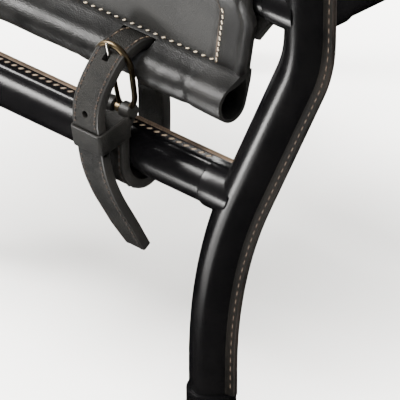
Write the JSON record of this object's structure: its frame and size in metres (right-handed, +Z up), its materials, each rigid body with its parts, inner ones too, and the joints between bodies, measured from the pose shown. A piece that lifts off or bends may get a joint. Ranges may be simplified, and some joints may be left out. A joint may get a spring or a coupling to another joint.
{
  "type": "magazine rack",
  "caption": "Free-standing magazine rack of leather-covered bent tubes with a two-pocket leather sling tied down by buckled belts.",
  "frame": {"origin": "on the floor under the middle of the rack", "axes": "+X along the rails to the right end, +Y from the near side to the far side, +Z up"},
  "size_m": [0.4854, 0.3962, 0.4769],
  "materials": {
    "tube_leather": "glossy",
    "sling_leather": "satin grain",
    "strap_leather": "matte worn",
    "rod_leather": "dark stained",
    "aged_brass": "aged",
    "tube_steel": "plain",
    "foot_rubber": "matte"
  },
  "bodies": {
    "rack": {"left_arch_core": "tube_steel", "right_arch_core": "tube_steel", "near_left_leg_core": "tube_steel", "near_right_leg_core": "tube_steel", "far_left_leg_core": "tube_steel", "far_right_leg_core": "tube_steel", "left_arch_cover": "tube_leather", "right_arch_cover": "tube_leather", "near_left_leg_cover": "tube_leather", "near_right_leg_cover": "tube_leather", "far_left_leg_cover": "tube_leather", "far_right_leg_cover": "tube_leather", "foot_cuffs": "tube_leather", "foot_glides": "foot_rubber", "near_rail_core": "tube_steel", "far_rail_core": "tube_steel", "near_rail_cover": "tube_leather", "far_rail_cover": "tube_leather", "left_end_rail_core": "tube_steel", "right_end_rail_core": "tube_steel", "left_end_rail_cover": "tube_leather", "right_end_rail_cover": "tube_leather", "near_stretcher_core": "tube_steel", "far_stretcher_core": "tube_steel", "near_stretcher_cover": "tube_leather", "far_stretcher_cover": "tube_leather", "centre_bar_core": "tube_steel", "centre_bar_cover": "tube_leather", "rail_collars": "tube_leather", "end_rail_collars": "tube_leather", "stretcher_collars": "tube_leather", "leg_welts": "tube_leather", "near_sling_rod": "rod_leather", "far_sling_rod": "rod_leather", "near_sleeve": "sling_leather", "far_sleeve": "sling_leather", "near_front_panel": "sling_leather", "far_front_panel": "sling_leather", "near_inner_panel": "sling_leather", "far_inner_panel": "sling_leather", "near_left_belt_strap": "strap_leather", "near_left_belt_keeper": "strap_leather", "near_left_belt_ring": "aged_brass", "near_right_belt_strap": "strap_leather", "near_right_belt_keeper": "strap_leather", "near_right_belt_ring": "aged_brass", "far_left_belt_strap": "strap_leather", "far_left_belt_keeper": "strap_leather", "far_left_belt_ring": "aged_brass", "far_right_belt_strap": "strap_leather", "far_right_belt_keeper": "strap_leather", "far_right_belt_ring": "aged_brass"},
    "near_left_tail": {"near_left_belt_tail": "strap_leather"},
    "near_left_prong": {"near_left_belt_prong": "aged_brass"},
    "near_right_tail": {"near_right_belt_tail": "strap_leather"},
    "near_right_prong": {"near_right_belt_prong": "aged_brass"},
    "far_left_tail": {"far_left_belt_tail": "strap_leather"},
    "far_left_prong": {"far_left_belt_prong": "aged_brass"},
    "far_right_tail": {"far_right_belt_tail": "strap_leather"},
    "far_right_prong": {"far_right_belt_prong": "aged_brass"}
  },
  "joints": [
    {"name": "near_left_tail_flex", "type": "hinge", "parent": "rack", "child": "near_left_tail", "pos_m": [-0.095, -0.1909, 0.16929], "axis": [1, 0, 0], "range_deg": [-20, 8], "stiffness_Nm_per_rad": 0.12},
    {"name": "near_left_prong_lift", "type": "hinge", "parent": "rack", "child": "near_left_prong", "pos_m": [-0.095, -0.17, 0.1865], "axis": [1, 0, 0], "range_deg": [0, 3]},
    {"name": "near_right_tail_flex", "type": "hinge", "parent": "rack", "child": "near_right_tail", "pos_m": [0.095, -0.1909, 0.16929], "axis": [1, 0, 0], "range_deg": [-20, 8], "stiffness_Nm_per_rad": 0.12},
    {"name": "near_right_prong_lift", "type": "hinge", "parent": "rack", "child": "near_right_prong", "pos_m": [0.095, -0.17, 0.1865], "axis": [1, 0, 0], "range_deg": [0, 3]},
    {"name": "far_left_tail_flex", "type": "hinge", "parent": "rack", "child": "far_left_tail", "pos_m": [-0.095, 0.1909, 0.16929], "axis": [-1, 0, 0], "range_deg": [-20, 8], "stiffness_Nm_per_rad": 0.12},
    {"name": "far_left_prong_lift", "type": "hinge", "parent": "rack", "child": "far_left_prong", "pos_m": [-0.095, 0.17, 0.1865], "axis": [-1, 0, 0], "range_deg": [0, 3]},
    {"name": "far_right_tail_flex", "type": "hinge", "parent": "rack", "child": "far_right_tail", "pos_m": [0.095, 0.1909, 0.16929], "axis": [-1, 0, 0], "range_deg": [-20, 8], "stiffness_Nm_per_rad": 0.12},
    {"name": "far_right_prong_lift", "type": "hinge", "parent": "rack", "child": "far_right_prong", "pos_m": [0.095, 0.17, 0.1865], "axis": [-1, 0, 0], "range_deg": [0, 3]}
  ]
}
